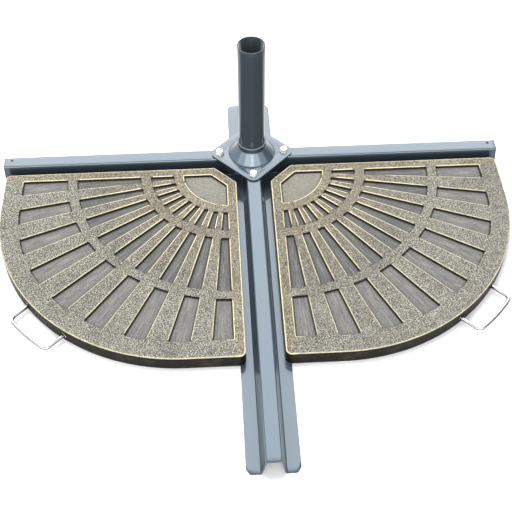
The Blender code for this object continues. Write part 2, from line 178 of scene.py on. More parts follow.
class Nodes:
    """Short ways to add nodes to a tree and link them."""

    def __init__(self, tree):
        self.tree = tree

    def node(self, kind, inputs=None, **settings):
        made = self.tree.nodes.new(kind)
        for name, value in settings.items():
            setattr(made, name, value)
        for name, value in (inputs or {}).items():
            self.feed(made.inputs[name], value)
        return made

    def feed(self, socket, value):
        """Links an output to the socket, or sets the socket's own value."""
        if isinstance(value, bpy.types.NodeSocket):
            self.tree.links.new(value, socket)
        else:
            socket.default_value = value

    def maths(self, operation, first, second=0.5):
        made = self.node("ShaderNodeMath", operation=operation)
        self.feed(made.inputs[0], first)
        self.feed(made.inputs[1], second)
        return made.outputs[0]

    def times(self, first, second):
        return self.maths("MULTIPLY", first, second)

    def span(self, value, low, high, to_low=0.0, to_high=1.0):
        """The value's stretch from low to high laid smoothly over to_low to to_high."""
        inputs = {"Value": value, "From Min": low, "From Max": high, "To Min": to_low, "To Max": to_high}
        made = self.node("ShaderNodeMapRange", inputs, interpolation_type="SMOOTHSTEP")
        return made.outputs["Result"]

    def height_of(self, vector):
        return self.node("ShaderNodeSeparateXYZ", {"Vector": vector}).outputs["Z"]


class Look(Nodes):
    """A Principled material. Values that are the same all over are set on its own sockets."""

    def __init__(self, name, **fixed):
        self.material = bpy.data.materials.new(name)
        self.material.use_nodes = True
        super().__init__(self.material.node_tree)
        self.shader = self.tree.nodes["Principled BSDF"]
        for socket, value in fixed.items():
            self.shader.inputs[socket.replace("_", " ").title().replace("Ior", "IOR")].default_value = value

    def drive(self, name, value):
        self.feed(self.shader.inputs[name], value)

    def place(self):
        """The point in the object's own frame, in metres."""
        return self.node("ShaderNodeTexCoord").outputs["Object"]

    def attribute(self, name, output="Fac"):
        return self.node("ShaderNodeAttribute", attribute_name=name).outputs[output]

    def noise(self, scale, detail=3.0, roughness=0.55, at=None, distortion=0.0):
        inputs = {"Scale": scale, "Detail": detail, "Roughness": roughness, "Distortion": distortion}
        inputs["Vector"] = at or self.place()
        return self.node("ShaderNodeTexNoise", inputs).outputs["Fac"]

    def cells(self, scale, feature="F1"):
        inputs = {"Scale": scale, "Vector": self.place()}
        return self.node("ShaderNodeTexVoronoi", inputs, feature=feature).outputs["Distance"]

    def stretched(self, scale, at=None):
        """The place scaled differently along each axis."""
        inputs = {"Vector": at or self.place(), "Scale": scale}
        return self.node("ShaderNodeMapping", inputs).outputs["Vector"]

    def ramp(self, value, stops):
        made = self.node("ShaderNodeValToRGB", {"Fac": value})
        steps = made.color_ramp.elements
        while len(steps) < len(stops):
            steps.new(1.0)
        for step, (position, colour) in zip(steps, stops):
            step.position = position
            step.color = (*colour, 1.0)
        return made.outputs["Color"]

    def mix(self, factor, first, second, blend="MIX"):
        made = self.node("ShaderNodeMix", data_type="RGBA", blend_type=blend)
        for index, value in ((0, factor), (6, first), (7, second)):
            if isinstance(value, tuple):
                value = (*value, 1.0)
            self.feed(made.inputs[index], value)
        return made.outputs[2]

    def bump(self, height, distance, strength=1.0, normal=None):
        made = self.node("ShaderNodeBump", {"Height": height, "Distance": distance, "Strength": strength})
        if normal:
            self.feed(made.inputs["Normal"], normal)
        return made.outputs["Normal"]

    def edges(self, low, high):
        """0 on flat faces to 1 on outer edges."""
        return self.span(self.node("ShaderNodeNewGeometry").outputs["Pointiness"], low, high)

    def upward(self):
        """How far the surface faces up: 1 on top faces, 0 on walls, -1 below."""
        return self.height_of(self.node("ShaderNodeNewGeometry").outputs["Normal"])


def gloss_paint(name, dark, light, coat, ior, roughness, wall=0.0, along=None):
    """Powder coat with orange peel and thin edges. Wall paints shade on steep faces by darkening their
    colour, and along adds faint lines.
    """
    tint = (0.54, 0.79, 1.0, 1.0)
    look = Look(name, coat_weight=coat, coat_roughness=0.04, ior=ior, specular_tint=tint)
    mottle = look.noise(9.0, 4.0)
    colour = look.ramp(mottle, [(0.25, dark), (0.75, light)])
    thin = look.times(look.edges(0.52, 0.62), look.noise(240.0, 2.0))
    colour = look.mix(look.times(thin, 0.7), colour, tuple(1.9 * c for c in light))
    if along:
        lines = look.noise(60.0, 3.0, at=look.stretched(along))
        colour = look.mix(look.span(lines, 0.45, 0.75, 0.0, 0.35), colour, dark)
    # painted shade: faces that stand on end are darkened towards near-black, by the share wall
    if wall:
        upright_shade = look.span(look.maths("ABSOLUTE", look.upward()), 0.34, 0.24, 0.0, wall)
        colour = look.mix(upright_shade, colour, (0.003, 0.004, 0.005))
    look.drive("Base Color", colour)
    look.drive("Roughness", look.span(mottle, 0.0, 1.0, *roughness))
    peel = look.bump(look.noise(300.0, 1.0), 0.00003, 0.25)
    look.drive("Normal", look.bump(look.noise(22.0, 1.0), 0.0008, 0.08, peel))
    return look.material


def zinc_plate(name):
    """Bright zinc: fine crystal patches and a slightly uneven surface."""
    look = Look(name, metallic=1.0, ior=1.8)
    patches = look.cells(620.0)
    look.drive("Base Color", look.ramp(patches, [(0.1, (0.78, 0.80, 0.83)), (0.6, (0.93, 0.94, 0.95))]))
    look.drive("Roughness", look.span(look.noise(300.0, 3.0), 0.3, 0.7, 0.18, 0.34))
    look.drive("Normal", look.bump(look.noise(900.0, 2.0), 0.00005, 0.5))
    return look.material


def chrome_plate(name):
    """Chromed wire: cloudy patches and small pits, with a painted dark reflection along the flanks and below.
    """
    look = Look(name, metallic=1.0, ior=2.0)
    cloud = look.noise(70.0, 3.0)
    tone = look.ramp(cloud, [(0.3, (0.33, 0.34, 0.36)), (0.7, (0.42, 0.43, 0.44))])
    # painted reflection: flanks and underside darkened, standing in for the dark surroundings mirrored there
    flank = look.span(look.upward(), 0.70, 0.25)
    flank_dark_reflection = look.times(flank, look.span(cloud, 0.2, 0.6, 0.75, 1.0))
    tone = look.mix(flank_dark_reflection, tone, (0.10, 0.11, 0.12))
    pits = look.span(look.cells(480.0), 0.07, 0.01)
    look.drive("Base Color", look.mix(pits, tone, (0.32, 0.30, 0.28)))
    look.drive("Roughness", look.span(cloud, 0.3, 0.7, 0.06, 0.15))
    look.drive("Normal", look.bump(look.noise(700.0, 2.0), 0.00004, 0.35))
    return look.material


def cast_bronze(name):
    """Grainy casting in antique-bronze paint: gold rubbed on edges, painted shade on the walls, streaked
    pocket floors.
    """
    look = Look(name, ior=1.2)
    raised = look.attribute("raised")
    warm = look.attribute("warm")
    fine = look.noise(1250.0, 2.0, 0.6)
    worms = look.noise(760.0, 1.0, 0.5, distortion=0.8)
    grain = look.maths("ADD", look.times(worms, 0.65), look.times(fine, 0.35))
    patina = look.noise(14.0, 4.0)
    fan = look.attribute("fan", "Vector")
    radius = look.node("ShaderNodeSeparateXYZ", {"Vector": fan}).outputs["Y"]
    middle = look.times(look.span(radius, 0.31, 0.28), look.span(radius, 0.099, 0.105))

    top = look.ramp(grain, [
        (0.39, (0.007, 0.006, 0.004)), (0.47, (0.044, 0.041, 0.034)),
        (0.53, (0.104, 0.101, 0.088)), (0.60, (0.325, 0.315, 0.270)),
    ])
    top = look.mix(look.times(warm, 0.60), top, (1.12, 1.0, 0.78), "MULTIPLY")
    top = look.mix(look.span(patina, 0.42, 0.62, 0.0, 0.50), top, (0.72, 0.70, 0.70), "MULTIPLY")
    top = look.mix(middle, top, (0.90, 0.91, 0.93), "MULTIPLY")

    scratches = look.noise(1.0, 4.0, 0.6, at=look.stretched((560.0, 26.0, 1.0), fan))
    floor_grain = look.maths("ADD", look.times(fine, 0.8), look.times(scratches, 0.2))
    floor = look.ramp(floor_grain, [
        (0.38, (0.036, 0.036, 0.038)), (0.50, (0.074, 0.073, 0.074)), (0.62, (0.160, 0.155, 0.142)),
    ])
    rubbed = look.ramp(grain, [
        (0.38, (0.046, 0.044, 0.040)), (0.50, (0.104, 0.101, 0.089)), (0.62, (0.24, 0.225, 0.180)),
    ])
    corner_pocket = look.times(look.span(radius, 0.099, 0.092), look.span(patina, 0.3, 0.6, 0.55, 1.0))
    floor = look.mix(corner_pocket, floor, rubbed)
    floor = look.mix(middle, floor, (0.66, 0.68, 0.72), "MULTIPLY")
    # pocket floors are darker along the foot of each wall
    floor = look.mix(look.attribute("wall_foot_darkening"), floor, (0.016, 0.015, 0.014))
    streaks = look.times(look.attribute("streak"), look.span(scratches, 0.44, 0.62))
    floor = look.mix(look.times(streaks, 0.20), floor, (0.26, 0.235, 0.165))

    # painted shade: the pocket walls and the outside of the casting get a near-black colour, with a few
    # bronze specks
    wall_shade_patches = look.span(look.noise(34.0, 4.0), 0.48, 0.70)
    wall = look.mix(wall_shade_patches, (0.005, 0.004, 0.003), (0.018, 0.014, 0.009))
    specks = look.span(look.cells(300.0), 0.13, 0.05)
    wall = look.mix(look.times(specks, 0.5), wall, (0.22, 0.15, 0.08))

    colour = look.mix(raised, floor, top)
    colour = look.mix(look.attribute("wall"), colour, wall)
    colour = look.mix(look.attribute("outside"), colour, wall)
    rub = look.span(look.maths("ADD", look.attribute("edge"), look.times(grain, 0.6)), 0.75, 1.15)
    rub = look.times(rub, look.span(warm, 0.0, 1.0, 0.55, 0.95))
    gold = look.mix(look.span(fine, 0.35, 0.65), (0.26, 0.22, 0.12), (0.60, 0.56, 0.39))
    look.drive("Base Color", look.mix(rub, colour, gold))
    look.drive("Metallic", look.span(rub, 0.0, 1.0, 0.10, 0.40))
    look.drive("Roughness", look.span(grain, 0.35, 0.65, 0.62, 0.42))
    hammered = look.cells(520.0, "SMOOTH_F1")
    look.drive("Normal", look.bump(hammered, 0.0005, 0.5, look.bump(fine, 0.00025, 0.6)))
    return look.material


def pale_floor(name):
    """Matt pale grey with a faint broad mottle."""
    look = Look(name, roughness=0.9, ior=1.2)
    mottle = look.noise(2.0, 3.0)
    look.drive("Base Color", look.ramp(mottle, [(0.3, (0.52, 0.52, 0.52)), (0.7, (0.55, 0.55, 0.55))]))
    return look.material


# Outlines


def arc(centre, radius, start, end, count):
    """Points from angle start to angle end, both included."""
    return [
        (
            centre[0] + radius * math.cos(start + (end - start) * i / count),
            centre[1] + radius * math.sin(start + (end - start) * i / count),
        )
        for i in range(count + 1)
    ]


def fillet(before, corner, after, radius, count):
    """The corner rounded: an arc tangent to the two edges that meet there."""
    corner = Vector(corner)
    to_before = (Vector(before) - corner).normalized()
    to_after = (Vector(after) - corner).normalized()
    half = to_before.angle(to_after) / 2
    centre = corner + (to_before + to_after).normalized() * radius / math.sin(half)
    first = corner + to_before * radius / math.tan(half) - centre
    last = corner + to_after * radius / math.tan(half) - centre
    start = math.atan2(first.y, first.x)
    turn = math.remainder(math.atan2(last.y, last.x) - start, 2 * math.pi)
    return arc(centre, radius, start, start + turn, count)


def rounded(corners, count):
    """A closed outline from (x, y, rounding) corners, or a closed profile from (radius, z, rounding) ones."""
    outline = []
    for i, (x, y, radius) in enumerate(corners):
        before = corners[i - 1][:2]
        after = corners[(i + 1) % len(corners)][:2]
        outline += fillet(before, (x, y), after, radius, count) if radius else [(x, y)]
    return outline


def circle(radius, steps):
    return arc((0.0, 0.0), radius, 0.0, 2 * math.pi, steps)[:-1]


def stepped(outline, step, closed=True):
    """The outline with each side split into equal parts no longer than step."""
    ends = outline[1:] + outline[:1] if closed else outline[1:]
    made = []
    for (x0, y0), (x1, y1) in zip(outline, ends):
        parts = max(1, math.ceil(math.hypot(x1 - x0, y1 - y0) / step - 1e-6))
        made += [(x0 + (x1 - x0) * i / parts, y0 + (y1 - y0) * i / parts) for i in range(parts)]
    return made if closed else made + [outline[-1]]


def signed_area(outline):
    return sum(x0 * y1 - x1 * y0 for (x0, y0), (x1, y1) in zip(outline, outline[1:] + outline[:1])) / 2


def moved_out(outline, distance):
    """The closed anticlockwise outline moved outwards, or inwards by a negative distance."""
    made = []
    for i, point in enumerate(outline):
        here = Vector(point)
        first = (here - Vector(outline[i - 1])).normalized()
        second = (Vector(outline[(i + 1) % len(outline)]) - here).normalized()
        along = (first + second).normalized()
        out = Vector((along.y, -along.x))
        made.append(tuple(here + out * distance / max(0.5, first.dot(along))))
    return made


def trimmed(line, cut):
    """An open line with the length cut taken off both ends."""
    def from_start(points):
        left = cut
        for i in range(len(points) - 1):
            here, there = Vector(points[i]), Vector(points[i + 1])
            length = (there - here).length
            if length > left:
                return [tuple(here.lerp(there, left / length)), *points[i + 1:]]
            left -= length
        return points[-1:]

    return from_start(from_start(line)[::-1])[::-1]


def softened(sides, cut, steps=4):
    """A closed outline from open lines that meet end to end, with each corner turned over the length cut."""
    made = []
    for i, side in enumerate(sides):
        here = trimmed(side, cut)
        after = trimmed(sides[(i + 1) % len(sides)], cut)
        made += here
        start, corner, end = Vector(here[-1]), Vector(side[-1]), Vector(after[0])
        for k in range(1, steps):
            t = k / steps
            made.append(tuple(start.lerp(corner, t).lerp(corner.lerp(end, t), t)))
    return made


# Builders


def new_object(name, data):
    item = bpy.data.objects.new(name, data)
    bpy.context.scene.collection.objects.link(item)
    return item


def mesh_object(name, points, faces):
    mesh = bpy.data.meshes.new(name)
    mesh.from_pydata(points, [], faces)
    work = bmesh.new()
    work.from_mesh(mesh)
    bmesh.ops.recalc_face_normals(work, faces=work.faces)
    work.to_mesh(mesh)
    work.free()
    return new_object(name, mesh)


def shade(item, material, angle=35.0):
    item.data.shade_smooth()
    item.data.set_sharp_from_angle(angle=math.radians(angle))
    item.data.materials.clear()
    item.data.materials.append(material)


def baked(item):
    """The object's modifiers turned into its mesh."""
    bpy.context.view_layer.update()
    evaluated = item.evaluated_get(bpy.context.evaluated_depsgraph_get())
    mesh = bpy.data.meshes.new_from_object(evaluated)
    item.modifiers.clear()
    item.data = mesh
    return item


def cut_by(item, cutters, operation="DIFFERENCE"):
    for cutter in cutters:
        boolean = item.modifiers.new("cut", "BOOLEAN")
        boolean.operation = operation
        boolean.object = cutter
    baked(item)
    for cutter in cutters:
        bpy.data.objects.remove(cutter, do_unlink=True)
    return item


def soft_edges(item, width, segments=2, angle=50.0):
    bevel = item.modifiers.new("edges", "BEVEL")
    bevel.width = width
    bevel.segments = segments
    bevel.limit_method = "ANGLE"
    bevel.angle_limit = math.radians(angle)
    return baked(item)


def lofted(name, loops, capped=True):
    """A skin over closed loops of 3-D points, all of the same count."""
    count = len(loops[0])
    points = [point for loop in loops for point in loop]
    faces = []
    for base in range(0, (len(loops) - 1) * count, count):
        for i in range(count):
            j = (i + 1) % count
            faces.append((base + i, base + j, base + count + j, base + count + i))
    if capped:
        faces.append(tuple(range(count)))
        faces.append(tuple((len(loops) - 1) * count + i for i in range(count)))
    return mesh_object(name, points, faces)


def prism(name, outline, bottom, top):
    return lofted(name, [[(x, y, z) for x, y in outline] for z in (bottom, top)])


def turned(name, profile, steps, place=None):
    """A closed profile of (radius, z) points spun about Z. Points on the axis become one point."""
    points, index = [], []
    for radius, z in profile:
        if radius < 1e-9:
            index.append([len(points)] * steps)
            points.append((0.0, 0.0, z))
        else:
            index.append(list(range(len(points), len(points) + steps)))
            points += [(x, y, z) for x, y in circle(radius, steps)]
    faces = []
    for first, second in zip(index, index[1:] + index[:1]):
        for i in range(steps):
            j = (i + 1) % steps
            corners = list(dict.fromkeys((first[i], first[j], second[j], second[i])))
            if len(corners) > 2:
                faces.append(corners)
    item = mesh_object(name, points, faces)
    if place:
        item.data.transform(place)
    return item


def put(item, node):
    """The piece stands for a CAD node, which it hides, and rides that node's body."""
    body = frame["nodes"][node]["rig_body"]
    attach(item, body)
    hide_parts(node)


# Steel cross


def hat_chains():
    """The folded section's upper and lower faces as two lines of as many points, in x across and y up."""
    lean = (FOOT_HALF - RIDGE_HALF) / (BAR_HEIGHT - SHEET)
    across = SHEET * math.hypot(1.0, lean)
    shift = lean * SHEET - across
    chains = []
    for corners in (
        [(FLANGE_HALF, SHEET, 0.0), (FOOT_HALF, SHEET, BEND_INNER), (RIDGE_HALF, BAR_HEIGHT, BEND_OUTER)],
        [(FLANGE_HALF, 0.0, 0.0), (FOOT_HALF + shift, 0.0, BEND_OUTER),
         (RIDGE_HALF + shift, BAR_HEIGHT - SHEET, BEND_INNER)],
    ):
        mirrored = [(-x, y, radius) for x, y, radius in reversed(corners)]
        whole = corners + mirrored
        line = [(whole[0][0], whole[0][1])]
        for before, (x, y, radius), after in zip(whole, whole[1:], whole[2:]):
            line += fillet(before[:2], (x, y), after[:2], radius, BEND_STEPS)
        line.append((whole[-1][0], whole[-1][1]))
        chains.append(line)
    return chains


def end_setback(across, radius):
    """How far the rounded corner of a flange stands back from the bar's end."""
    into = abs(across) - (FLANGE_HALF - radius)
    return radius - math.sqrt(max(0.0, radius**2 - into**2)) if into > 0 and radius else 0.0


def hat_bar(name, direction, start, end, start_radius, end_radius):
    """A folded bar along a plan direction, from start to end away from the mast's axis."""
    upper, lower = hat_chains()
    upper = stepped(upper, 0.006, closed=False)
    lower = stepped(lower, 0.006, closed=False)
    section = upper + lower[::-1]
    count = round((end - start) / RING_STEP)
    loops = []
    for k in range(count + 1):
        loop = []
        for x, z in section:
            first = start + end_setback(x, start_radius)
            last = end - end_setback(x, end_radius)
            run = first + (last - first) * k / count
            loop.append((
                run * direction[0] - x * direction[1],
                MAST_Y + run * direction[1] + x * direction[0],
                z,
            ))
        loops.append(loop)
    item = lofted(name, loops, capped=False)
    # the two ends, as strips of quads through the sheet's thickness
    work = bmesh.new()
    work.from_mesh(item.data)
    work.verts.ensure_lookup_table()
    pairs = len(upper)
    for base in (0, count * len(section)):
        for i in range(pairs - 1):
            corners = (i, i + 1, len(section) - 2 - i, len(section) - 1 - i)
            work.faces.new([work.verts[base + c] for c in corners])
    bmesh.ops.recalc_face_normals(work, faces=work.faces)
    work.to_mesh(item.data)
    work.free()
    return item


def drill(x, y, radius, low, high):
    item = prism("drill", circle(radius, 32), low, high)
    item.data.transform(Matrix.Translation((x, MAST_Y + y, 0.0)))
    return item


def steel_cross(paint):
    """The main bar and the two arms, drilled for the bolts, with the arms notched over the bar's flanges."""
    low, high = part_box("main_bar")
    rear, front = high.y - MAST_Y, MAST_Y - low.y
    below, above = BAR_HEIGHT - 0.006, BAR_HEIGHT + 0.002
    main = hat_bar("main_bar_steel", (0.0, -1.0), -rear, front, END_RADIUS, END_RADIUS)
    cut_by(main, [drill(0.0, sign * BOLT_REACH, BOLT_HOLE, below, above) for sign in (-1, 1)])
    bars = [(main, "main_bar")]
    for side, sign in SIDES.items():
        low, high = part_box(f"{side}_arm")
        start, end = sorted((abs(low.x), abs(high.x)))
        arm = hat_bar(f"{side}_arm_steel", (float(sign), 0.0), start, end, 0.0, END_RADIUS)
        reach, past = FLANGE_HALF + NOTCH_GAP, 0.1
        notch_outline = [(-reach, -past), (reach, -past), (reach, past), (-reach, past)]
        notch = prism("notch", notch_outline, -0.01, REBATE_TOP)
        notch.data.transform(MAST)
        x, y, radius = TIP_HOLE
        cut_by(arm, [
            notch,
            drill(sign * BOLT_REACH, 0.0, BOLT_HOLE, below, above),
            drill(sign * x, y, radius, below, above),
        ])
        bars.append((arm, f"{side}_arm"))
    for bar, node in bars:
        soft_edges(bar, SHEAR_EDGE)
        shade(bar, paint)
        put(bar, node)


# Centre plate, fasteners, socket and tube


def bolt_places():
    """Each bolt's x and y from the mast's axis."""
    return {
        "front": (0.0, -BOLT_REACH),
        "right": (BOLT_REACH, 0.0),
        "back": (0.0, BOLT_REACH),
        "left": (-BOLT_REACH, 0.0),
    }


def centre_plate(paint):
    """The plate that bolts the bars together, set corner to the front, with a hole at each corner."""
    low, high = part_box("centre_plate")
    point = PLATE_SIDE / math.sqrt(2)
    corners = [(point, 0.0), (0.0, point), (-point, 0.0), (0.0, -point)]
    outline = rounded([(x, y, PLATE_RADIUS) for x, y in corners], 16)
    plate = prism("centre_plate_steel", outline, low.z, high.z)
    plate.data.transform(MAST)
    cut_by(plate, [drill(x, y, BOLT_HOLE, low.z - 0.01, high.z + 0.01) for x, y in bolt_places().values()])
    soft_edges(plate, PLATE_EDGE, 3)
    shade(plate, paint)
    put(plate, "centre_plate")


def chamfered_hexagon(name, flats, bottom, top, both_ends):
    """A hexagon with its corners turned back at the top, and at the bottom too where both_ends is set."""
    corner = flats / math.sqrt(3)
    body = prism(name, circle(corner, 6), bottom, top)
    face = HEX_FACE * flats / 2
    drop = (corner - face) * math.tan(HEX_CHAMFER)
    profile = [(0.0, top), (face, top), (corner, top - drop), (corner, bottom + (drop if both_ends else 0.0))]
    profile += [(face, bottom), (0.0, bottom)] if both_ends else [(0.0, bottom)]
    return cut_by(body, [turned("chamfer", profile, 48)], "INTERSECT")


def threaded_shank(name, top, bottom, steps=32):
    """A shank with a plain neck and a helical thread below it, closed at both ends."""
    ring_height = THREAD_PITCH / 8
    count = round((top - bottom) / ring_height)
    loops = []
    for k in range(count + 1):
        z = top + (bottom - top) * k / count
        fade = min(1.0, max(0.0, (top - PLAIN_NECK - z) / THREAD_PITCH))
        taper = max(0.0, 1.0 - (z - bottom) / SHANK_POINT)
        loop = []
        for i in range(steps):
            phase = (z / THREAD_PITCH + i / steps) % 1.0
            radius = SHANK_RADIUS - THREAD_DEPTH * (fade * abs(2 * phase - 1) + taper)
            angle = 2 * math.pi * i / steps
            loop.append((radius * math.cos(angle), radius * math.sin(angle), z))
        loops.append(loop)
    return lofted(name, loops)


def bolt(where, place, zinc):
    """A flanged hexagon bolt: collar and hexagon on the plate, threaded shank below."""
    low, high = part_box(f"{where}_bolt")
    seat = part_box("centre_plate")[1].z + HEAD_SEAT
    collar = seat + COLLAR_HEIGHT
    name = f"{where}_bolt_zinc"
    profile = [
        (0.0, seat, 0.0), (HEAD_RADIUS, seat, 0.0003), (HEAD_RADIUS, seat + 0.0009, 0.0004),
        (HEAD_FLATS / 2, collar + 0.0004, 0.0004), (0.0, collar + 0.0006, 0.0),
    ]
    item = turned(name, rounded(profile, 4), 48)
    head = chamfered_hexagon("head", HEAD_FLATS, seat + 0.0008, high.z, False)
    soft_edges(head, 0.00035, 2, 25.0)
    shank = threaded_shank("shank", seat + 0.0004, low.z)
    cut_by(item, [head], "UNION")
    cut_by(item, [shank], "UNION")
    item.data.transform(place)
    shade(item, zinc, 28.0)
    put(item, f"{where}_bolt")


def washer_and_nut(where, place, zinc):
    """A rounded washer, and a chamfered nut with a countersunk hole."""
    low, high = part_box(f"{where}_washer")
    outer, rounding = (high.x - low.x) / 2, 0.0002
    profile = [
        (BOLT_HOLE, low.z, rounding), (outer, low.z, rounding),
        (outer, high.z, rounding), (BOLT_HOLE, high.z, rounding),
    ]
    washer = turned(f"{where}_washer_zinc", rounded(profile, 2), 48, place)
    low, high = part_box(f"{where}_nut")
    nut = chamfered_hexagon(f"{where}_nut_zinc", NUT_FLATS, low.z, high.z, True)
    bore, mouth, past = SHANK_RADIUS + 0.0004, 0.0006, 0.001
    hole = turned("hole", [
        (0.0, low.z - past), (bore + mouth, low.z - past), (bore + mouth, low.z), (bore, low.z + mouth),
        (bore, high.z - mouth), (bore + mouth, high.z), (bore + mouth, high.z + past), (0.0, high.z + past),
    ], 32)
    cut_by(nut, [hole])
    soft_edges(nut, 0.0002, 2, 25.0)
    nut.data.transform(place)
    for item, kind in ((washer, "washer"), (nut, "nut")):
        shade(item, zinc, 28.0)
        put(item, f"{where}_{kind}")


def fasteners(zinc):
    """Bolts, washers and nuts, each bolt and nut stopped at a turn of its own."""
    for k, (where, (x, y)) in enumerate(bolt_places().items()):
        centre = MAST @ Matrix.Translation((x, y, 0.0))
        bolt(where, centre @ Matrix.Rotation(math.radians(11 + 17 * k), 4, "Z"), zinc)
        washer_and_nut(where, centre @ Matrix.Rotation(math.radians(5 + 23 * k), 4, "Z"), zinc)


def socket(paint):
    """A spun flare from the plate up to a straight neck with a rounded rim."""
    low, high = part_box("socket_cone")
    bore = (TUBE_HIGH.x - TUBE_LOW.x) / 2 + 0.0003
    corners = [
        (bore, high.z, 0.0004), (NECK_RADIUS, high.z, 0.0012), (NECK_RADIUS, NECK_FOOT, 0.0040),
        (CONE_BASE - 0.0012, low.z + 0.0026, 0.0030), (CONE_BASE, low.z, 0.0002),
        (CONE_BASE - 0.0042, low.z, 0.0004), (bore, NECK_FOOT - 0.0042, 0.0020),
    ]
    cone = turned("socket_flare_steel", rounded(corners, 7), 160, MAST)
    shade(cone, paint)
    put(cone, "socket_cone")


def tube(paint):
    """The mast tube, with rounded ends and the long weld seam inside."""
    outer = (TUBE_HIGH.x - TUBE_LOW.x) / 2
    inner = outer - TUBE_WALL
    corners = [
        (inner, TUBE_HIGH.z, TUBE_EDGE), (outer, TUBE_HIGH.z, TUBE_EDGE),
        (outer, TUBE_LOW.z, TUBE_EDGE), (inner, TUBE_LOW.z, TUBE_EDGE),
    ]
    item = turned("mast_tube_steel", stepped(rounded(corners, 4), 0.02), 128, MAST)
    for vertex in item.data.vertices:
        x, y = vertex.co.x, vertex.co.y - MAST_Y
        seam = math.exp(-((math.atan2(x, y) * inner / SEAM_WIDTH) ** 2))
        if math.hypot(x, y) < inner + 0.0001:
            vertex.co.y -= SEAM_HEIGHT * seam
    shade(item, paint)
    item.visible_glossy = False  # keeps the dark tube's mirror image off the pale ridge in front of it
    put(item, "mast_tube")


# Cast weights


def weight_outline():
    """Quarter fan, anticlockwise in (u, v): two straight edges, a cut inner corner and the curved edge."""
    side, straight = WEIGHT_SIDE, WEIGHT_STRAIGHT
    ends = [
        ((side, straight), (side, 0.0), (WEIGHT_CHAMFER, 0.0), WEIGHT_CORNER),
        ((side, 0.0), (WEIGHT_CHAMFER, 0.0), (0.0, WEIGHT_CHAMFER), CHAMFER_CORNER),
        ((WEIGHT_CHAMFER, 0.0), (0.0, WEIGHT_CHAMFER), (0.0, side), CHAMFER_CORNER),
        ((0.0, WEIGHT_CHAMFER), (0.0, side), (straight, side), WEIGHT_CORNER),
    ]
    outline = []
    for before, corner, after, radius in ends:
        outline += fillet(before, corner, after, radius, 8)
    outline += arc((straight, straight), side - straight, QUARTER, 0.0, 120)
    return outline[::-1]


def ring_point(angle, radius):
    """Where the spoke direction from the border's inner corner meets a ring about RING_CENTRE."""
    across = BORDER - RING_CENTRE
    along = across * (math.cos(angle) + math.sin(angle))
    reach = -along + math.sqrt(along**2 - 2 * across**2 + radius**2)
    return (BORDER + reach * math.cos(angle), BORDER + reach * math.sin(angle))


def rim_point(angle):
    """Where the spoke direction meets the inside of the band that follows the curved edge."""
    limit = WEIGHT_SIDE - RIM_BAND
    run = limit - BORDER
    if run * math.tan(min(angle, QUARTER - angle)) <= WEIGHT_STRAIGHT - BORDER:
        reach = run / max(math.cos(angle), math.sin(angle))
    else:
        across = BORDER - WEIGHT_STRAIGHT
        along = across * (math.cos(angle) + math.sin(angle))
        reach = -along + math.sqrt(along**2 - 2 * across**2 + (limit - WEIGHT_STRAIGHT) ** 2)
    return (BORDER + reach * math.cos(angle), BORDER + reach * math.sin(angle))


def pocket_outlines():
    """The corner pocket, then each ring's pockets, anticlockwise, with softened corners."""
    corner = [ring_point(QUARTER * i / 40, CORNER_ARC) for i in range(41)]
    inner, outer = (BORDER, POCKET_CHAMFER), (POCKET_CHAMFER, BORDER)
    shapes = [[corner, [corner[-1], inner], [inner, outer], [outer, corner[0]]]]
    for near_radius, far_radius in RINGS:
        for k in range(SPOKES + 1):
            angles = [WEDGE * (2 * k + i / 12) for i in range(13)]
            near = [ring_point(angle, near_radius) for angle in angles]
            far = [ring_point(angle, far_radius) if far_radius else rim_point(angle) for angle in angles]
            shapes.append([far, [far[-1], near[-1]], near[::-1], [near[0], far[0]]])
    outlines = [stepped(softened(sides, POCKET_CORNER), POINT_STEP) for sides in shapes]
    return [outline if signed_area(outline) > 0 else outline[::-1] for outline in outlines]


def smoothstep(value, low, high):
    t = min(1.0, max(0.0, (value - low) / (high - low)))
    return t * t * (3 - 2 * t)


def handle_place(sign):
    """Local +X points out through the middle of the rim, at the handle's height, from the rim's wall."""
    legs_at = math.sqrt((WEIGHT_SIDE - WEIGHT_STRAIGHT) ** 2 - LEG_HALF**2) * math.cos(math.pi / 4)
    x = WEIGHT_U + WEIGHT_STRAIGHT + legs_at
    y = WEIGHT_V + WEIGHT_STRAIGHT + legs_at
    turn = Matrix.Rotation(-math.pi / 4 if sign > 0 else -3 * math.pi / 4, 4, "Z")
    return MAST @ Matrix.Translation((sign * x, -y, HANDLE_Z)) @ turn


def leg_places(sign):
    """For each leg, a frame on its line with +Z pointing into the weight."""
    into = Matrix.Rotation(-QUARTER, 4, "Y")
    return {
        "inner": handle_place(sign) @ Matrix.Translation((0.0, -sign * LEG_HALF, 0.0)) @ into,
        "outer": handle_place(sign) @ Matrix.Translation((0.0, sign * LEG_HALF, 0.0)) @ into,
    }


def plan_tree(points):
    """A search tree over points in the weight's plan."""
    tree = kdtree.KDTree(len(points))
    for i, (u, v) in enumerate(points):
        tree.insert((u, v, 0.0), i)
    tree.balance()
    return tree


def casting_levels():
    """(distance outwards, z) of each ring of points down the outer wall, and down a pocket's wall."""
    top, floor, edge = WEIGHT_TOP, WEIGHT_TOP - POCKET_DEPTH, WEIGHT_EDGE
    outer = [(-edge, top), (-0.55 * edge, top - 0.12 * edge), (-0.15 * edge, top - 0.5 * edge)]
    outer += [(0.0, z) for z in (top - edge, 0.024, 0.018, 0.012, 0.006, 0.0018)]
    outer += [(-0.0005, 0.0006), (-0.0012, WEIGHT_BOTTOM)]
    pocket = [
        (0.0008, top), (0.0003, top - 0.00012), (0.0, top - 0.0005), (-0.0001, top - 0.0015),
        (-0.0003, floor + 0.0006), (-0.0005, floor + 0.0002), (-0.0010, floor),
    ]
    return outer, pocket


